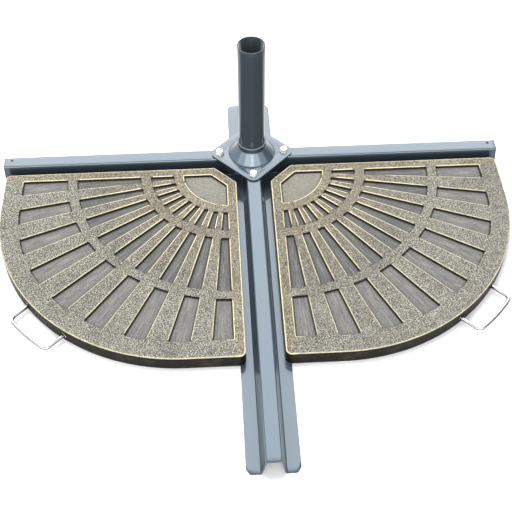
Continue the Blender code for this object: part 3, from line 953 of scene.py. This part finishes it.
def casting_plan(loops):
    """Plan points for a casting's flat faces: the loops, then a lattice that keeps off them."""
    plan = [Vector(point) for loop in loops for point in loop]
    tree = plan_tree(plan)
    jitter, too_near = 0.0005, 0.6 * LATTICE
    rows = round(WEIGHT_SIDE / (LATTICE * math.sqrt(0.75)))  # of equilateral triangles
    for row in range(1, rows):
        v = WEIGHT_SIDE * row / rows
        for column in range(1, round(WEIGHT_SIDE / LATTICE)):
            u = LATTICE * (column + 0.5 * (row % 2))
            u += jitter * noise.noise((431 * u, 431 * v, 7.0))
            if tree.find((u, v, 0.0))[2] > too_near:
                plan.append(Vector((u, v)))
    return plan


def flat_faces(plan, regions):
    """Points and triangles of the top and the pocket floors, and where each plan point has gone.

    The regions are the outer edge, then every pocket's rim, then every pocket's floor.
    """
    edges = [pair for region in regions for pair in zip(region, region[1:] + region[:1])]
    made = geometry.delaunay_2d_cdt(plan, edges, regions, 0, 1e-7, True)
    plan_points, triangles, sources, owners = made[0], made[2], made[3], made[5]
    found = {source: i for i, group in enumerate(sources) for source in group}
    points = [(point.x, point.y, None) for point in plan_points]
    faces = []
    for triangle, owner in zip(triangles, owners):
        inside = set(owner)
        on_floor = any(region > len(regions) // 2 for region in inside)
        if 0 not in inside or (len(inside) > 1 and not on_floor):
            continue  # outside the casting, or between a pocket's rim and its floor
        for i in triangle:
            points[i] = (points[i][0], points[i][1], WEIGHT_TOP - POCKET_DEPTH if on_floor else WEIGHT_TOP)
        faces.append(tuple(triangle))
    return points, faces, found


def skirt(points, faces, shape, levels, first_ids, last_ids=None):
    """Adds quads down through the levels, from the loop first_ids to last_ids or to a closing face."""
    previous = first_ids
    for k, (out, z) in enumerate(levels[1:], 1):
        if last_ids and k == len(levels) - 1:
            current = last_ids
        else:
            current = list(range(len(points), len(points) + len(shape)))
            points.extend((u, v, z) for u, v in moved_out(shape, out))
        for i in range(len(shape)):
            j = (i + 1) % len(shape)
            faces.append((previous[i], previous[j], current[j], current[i]))
        previous = current
    if not last_ids:
        faces.append(tuple(previous))


def casting_mesh(outline, pockets):
    """Points (u, v, z) and faces of a weight: faces over a lattice, turned edges, drafted pocket walls."""
    outer_levels, pocket_levels = casting_levels()
    loops = [moved_out(outline, outer_levels[0][0])]
    loops += [moved_out(pocket, pocket_levels[0][0]) for pocket in pockets]
    loops += [moved_out(pocket, pocket_levels[-1][0]) for pocket in pockets]
    regions, first = [], 0
    for loop in loops:
        regions.append(list(range(first, first + len(loop))))
        first += len(loop)
    # rows of points beside the edges, so that the lattice doesn't meet them raggedly
    beside = [moved_out(outline, -WEIGHT_EDGE - 0.0022)]
    beside += [moved_out(pocket, distance) for distance in (0.0030, -0.0040) for pocket in pockets]
    points, faces, found = flat_faces(casting_plan(loops + beside), regions)
    outer, *rest = [[found[i] for i in region] for region in regions]
    skirt(points, faces, outline, outer_levels, outer)
    for pocket, rim, bed in zip(pockets, rest, rest[len(pockets):]):
        skirt(points, faces, pocket, pocket_levels, rim, bed)
    used = sorted({i for face in faces for i in face})
    renumbered = {old: new for new, old in enumerate(used)}
    return [points[i] for i in used], [tuple(renumbered[i] for i in face) for face in faces]


def weight_cutter(sign):
    """The two rebates under the weight as one L, and the two bores for the handle's sleeves."""
    half, far = REBATE_HALF, 0.6
    corner = [
        (-sign * half, -far), (sign * half, -far), (sign * half, -half),
        (sign * far, -half), (sign * far, half), (-sign * half, half),
    ]
    rebate = prism("rebate", corner, -0.012, REBATE_TOP)
    rebate.data.transform(MAST)
    bores = []
    for place in leg_places(sign).values():
        bore = prism("bore", circle(BORE_RADIUS, 32), -0.01, BORE_DEPTH)
        bore.data.transform(place)
        bores.append(bore)
    return [rebate, *bores]


def grain_at(u, v, z, seed):
    """Relief of the cast surface, from -1 to 1: fine lumps of about 5 mm over softer ones."""
    fine = noise.noise((260 * u, 260 * v, 260 * z + seed))
    soft = noise.noise((90 * u, 90 * v, 90 * z + seed))
    return 0.80 * fine + 0.20 * soft


def masks_at(u, v, z, rim_distance, edge_distance):
    """The material's masks at a point. The distances are to the nearest pocket's rim and the outer edge."""
    floor = WEIGHT_TOP - POCKET_DEPTH
    on_floor = z < floor + 0.001
    ring_radius = math.hypot(u - RING_CENTRE, v - RING_CENTRE)
    to_arc = min(abs(ring_radius - limit) for limit in RING_ARCS)
    radius = math.hypot(u - BORDER, v - BORDER)
    angle = min(QUARTER, max(0.0, math.atan2(v - BORDER, u - BORDER)))
    near_edge = 1.0 - smoothstep(min(rim_distance, edge_distance), 0.0012, 0.0036)
    if rim_distance < edge_distance:
        near_edge *= 0.40 + 0.60 * smoothstep(min(to_arc, abs(edge_distance - RIM_BAND)), 0.0020, 0.0050)
    outer_wall = edge_distance < 0.0013 and z < WEIGHT_TOP - 0.0012
    in_wall = smoothstep(z, floor + 0.0001, floor + 0.0006)
    in_wall *= 1.0 - smoothstep(z, WEIGHT_TOP - 0.0014, WEIGHT_TOP - 0.0005)
    straight = 1.0 - smoothstep(min(u, v), 0.8 * BORDER, 1.2 * BORDER)
    streak = math.exp(-((((angle / WEDGE) % 2.0 - 0.45) / 0.22) ** 2))
    return {
        "raised": smoothstep(z, WEIGHT_TOP - 0.0030, WEIGHT_TOP - 0.0008),
        "edge": near_edge * smoothstep(z, WEIGHT_TOP - 0.0016, WEIGHT_TOP - 0.0004),
        # wall and outside mark where the material paints shade as a near-black colour
        "wall": in_wall,
        "outside": 1.0 if outer_wall or z < floor - 0.001 else 0.0,
        "warm": max(straight, 1.0 - smoothstep(radius, 0.12, 0.36)),
        "streak": streak * smoothstep(radius, 0.10, 0.17) if on_floor else 0.0,
        "wall_foot_darkening": 1.0 - smoothstep(rim_distance, 0.0014, WALL_FOOT_DARK_REACH) if on_floor else 0.0,
        "fan": (angle * 0.25, radius, 0.0),
    }


def add_attributes(item, sign, outline, pockets):
    """Masks for the material, and the fan's own coordinates: angle across and radius along."""
    rims = plan_tree([point for pocket in pockets for point in pocket])
    edges = plan_tree(outline)
    rows = []
    for vertex in item.data.vertices:
        u = sign * vertex.co.x - WEIGHT_U
        v = MAST_Y - vertex.co.y - WEIGHT_V
        rows.append(masks_at(u, v, vertex.co.z, rims.find((u, v, 0.0))[2], edges.find((u, v, 0.0))[2]))
    fan = [value for row in rows for value in row.pop("fan")]
    item.data.attributes.new("fan", "FLOAT_VECTOR", "POINT").data.foreach_set("vector", fan)
    for name in rows[0]:
        values = [row[name] for row in rows]
        item.data.attributes.new(name, "FLOAT", "POINT").data.foreach_set("value", values)


def cast_weight(side, sign, bronze):
    """A quarter-round casting with grain on its top and pocket floors."""
    outline = stepped(weight_outline(), POINT_STEP)
    pockets = pocket_outlines()
    points, faces = casting_mesh(outline, pockets)
    seed = 3.0 + sign
    placed = []
    for u, v, z in points:
        if z > WEIGHT_TOP - POCKET_DEPTH - 0.001:
            z = min(z + GRAIN_DEPTH * grain_at(u, v, z, seed), WEIGHT_TOP + GRAIN_DEPTH)
        placed.append((sign * (WEIGHT_U + u), MAST_Y - WEIGHT_V - v, z))
    item = mesh_object(f"{side}_weight_casting", placed, faces)
    cut_by(item, weight_cutter(sign))
    add_attributes(item, sign, outline, pockets)
    shade(item, bronze, 60.0)
    put(item, f"{side}_weight")


# Handles and their sleeves


def sleeve(side, which, place, zinc):
    """A guide tube with a rolled mouth."""
    start, end = SLEEVE_FLUSH, SLEEVE_FLUSH + SLEEVE_LENGTH
    corners = [
        (SLEEVE_INNER, end, 0.0003), (SLEEVE_OUTER, end, 0.0003),
        (SLEEVE_OUTER, start, 0.0008), (SLEEVE_INNER, start, 0.0007),
    ]
    item = turned(f"{side}_{which}_sleeve_zinc", rounded(corners, 4), 40, place)
    shade(item, zinc)
    put(item, f"{side}_{which}_sleeve")


def handle_route():
    """Leg, bend, bowed bar, bend, leg: x out of the wall, y across, starting at the left leg's stop."""
    stop_gap = 0.0003
    inside = -(SLEEVE_FLUSH + SLEEVE_LENGTH + stop_gap + STOP_LENGTH)
    bow_radius = (LEG_HALF**2 + HANDLE_BOW**2) / (2 * HANDLE_BOW)
    lean = math.asin(LEG_HALF / bow_radius)
    corner = (HANDLE_OUT, -LEG_HALF)
    along_bar = (corner[0] + math.sin(lean), corner[1] + math.cos(lean))
    bend = fillet((0.0, -LEG_HALF), corner, along_bar, HANDLE_BEND, 16)
    centre = (HANDLE_OUT + HANDLE_BOW - bow_radius, 0.0)
    swept = math.asin(-bend[-1][1] / bow_radius)
    bar = arc(centre, bow_radius, -swept, swept, 28)[1:-1]
    half = [(inside, -LEG_HALF), *bend]
    return stepped(half + bar + [(x, -y) for x, y in reversed(half)], 0.004, closed=False)


def swept_wire(name, route, radius, foot, sides=24):
    """A round wire along a level route. The foot's (distance, radius) points shape both of its ends."""
    last = len(route) - 1

    def ring(i, distance, reach):
        here = Vector(route[i])
        along = (Vector(route[min(i + 1, last)]) - Vector(route[max(i - 1, 0)])).normalized()
        here += along * distance
        loop = []
        for k in range(sides):
            turn = 2 * math.pi * k / sides
            loop.append((
                here.x - along.y * reach * math.cos(turn), here.y + along.x * reach * math.cos(turn),
                reach * math.sin(turn),
            ))
        return loop

    rings = [ring(0, distance, reach) for distance, reach in foot]
    rings += [ring(i, 0.0, radius) for i in range(1, last)]
    rings += [ring(last, -distance, reach) for distance, reach in reversed(foot)]
    return lofted(name, rings)


def handle(side, sign, chrome):
    """The wire handle, with a stop turned on the end of each leg."""
    rounding = 0.0005
    foot = [
        (0.0, STOP_RADIUS - rounding), (rounding, STOP_RADIUS), (STOP_LENGTH - rounding, STOP_RADIUS),
        (STOP_LENGTH, STOP_RADIUS - rounding), (STOP_LENGTH, WIRE_RADIUS),
    ]
    item = swept_wire(f"{side}_handle_wire", handle_route(), WIRE_RADIUS, foot)
    item.data.transform(handle_place(sign))
    shade(item, chrome)
    put(item, f"{side}_handle")


# Studio


def ground():
    """A broad pale floor under the object."""
    reach = FLOOR_REACH
    corners = [(-reach, -reach, 0.0), (reach, -reach, 0.0), (reach, reach, 0.0), (-reach, reach, 0.0)]
    mesh = bpy.data.meshes.new("floor")
    mesh.from_pydata(corners, [], [(0, 1, 2, 3)])
    item = new_object("floor", mesh)
    item.location.z = -FLOOR_DROP
    item.data.materials.append(pale_floor("pale_floor"))


def soft_panel(sky, direction, towards, start, full, strength):
    """A soft round patch of light in the sky, brightest in the direction towards."""
    facing = sky.node("ShaderNodeVectorMath", operation="DOT_PRODUCT")
    sky.feed(facing.inputs[0], direction)
    sky.feed(facing.inputs[1], Vector(towards).normalized())
    return sky.span(facing.outputs["Value"], start, full, 0.0, strength)


def soft_sky():
    """A white dome, brighter overhead and hazy at the horizon, with the soft panels added to it."""
    world = bpy.data.worlds.new("soft_sky")
    bpy.context.scene.world = world
    world.use_nodes = True
    sky = Nodes(world.node_tree)
    direction = sky.node("ShaderNodeTexCoord").outputs["Generated"]
    height = sky.height_of(direction)
    dome = sky.span(height, 0.0, 0.5, SKY_LOW, SKY_HIGH)
    haze = sky.span(height, 0.10, 0.22, SKY_HAZE, 0.0)
    light = sky.maths("ADD", dome, haze)
    for panel in SOFT_PANELS:
        light = sky.maths("ADD", light, soft_panel(sky, direction, *panel))
    background = world.node_tree.nodes["Background"]
    background.inputs["Color"].default_value = (1.0, 1.0, 1.0, 1.0)
    sky.feed(background.inputs["Strength"], light)


def soft_box():
    """One broad lamp over the object. It isn't seen in reflections, where the soft panels take its place."""
    light = bpy.data.lights.new("soft_box", "AREA")
    light.shape = "SQUARE"
    light.size = LAMP_SIZE
    light.energy = LAMP_POWER
    lamp = new_object("soft_box", light)
    lamp.visible_glossy = False
    lamp.location = LAMP_PLACE
    lamp.rotation_euler = (-Vector(LAMP_PLACE)).to_track_quat("-Z", "Y").to_euler()


def photo_camera():
    """The camera at the photograph's viewing angle."""
    lens = bpy.data.cameras.new("photo_view")
    lens.lens = LENS
    lens.sensor_width = SENSOR
    camera = new_object("photo_view", lens)
    turn = Matrix.Rotation(CAMERA_TILT, 4, "X") @ Matrix.Rotation(CAMERA_ROLL, 4, "Z")
    turn = Matrix.Rotation(CAMERA_PAN, 4, "Z") @ turn
    camera.matrix_world = Matrix.Translation(CAMERA_PLACE) @ turn
    bpy.context.scene.camera = camera
    bpy.context.scene.view_settings.view_transform = "Standard"


# wall=0.75 paints shade on the steel's faces that stand on end
slate = gloss_paint(
    "slate_gloss", dark=(0.022, 0.031, 0.041), light=(0.028, 0.039, 0.050),
    coat=0.85, ior=1.5, roughness=(0.26, 0.36), wall=0.75,
)
anthracite = gloss_paint(
    "anthracite_gloss", dark=(0.019, 0.025, 0.030), light=(0.024, 0.031, 0.037),
    coat=0.20, ior=1.25, roughness=(0.14, 0.20), along=(1.0, 1.0, 0.02),
)
zinc = zinc_plate("bright_zinc")
bronze = cast_bronze("antique_bronze")
chrome = chrome_plate("bright_chrome")
steel_cross(slate)
centre_plate(slate)
fasteners(zinc)
socket(slate)
tube(anthracite)
for side, sign in SIDES.items():
    cast_weight(side, sign, bronze)
    for which, place in leg_places(sign).items():
        sleeve(side, which, place, zinc)
    handle(side, sign, chrome)
ground()
soft_sky()
soft_box()
photo_camera()
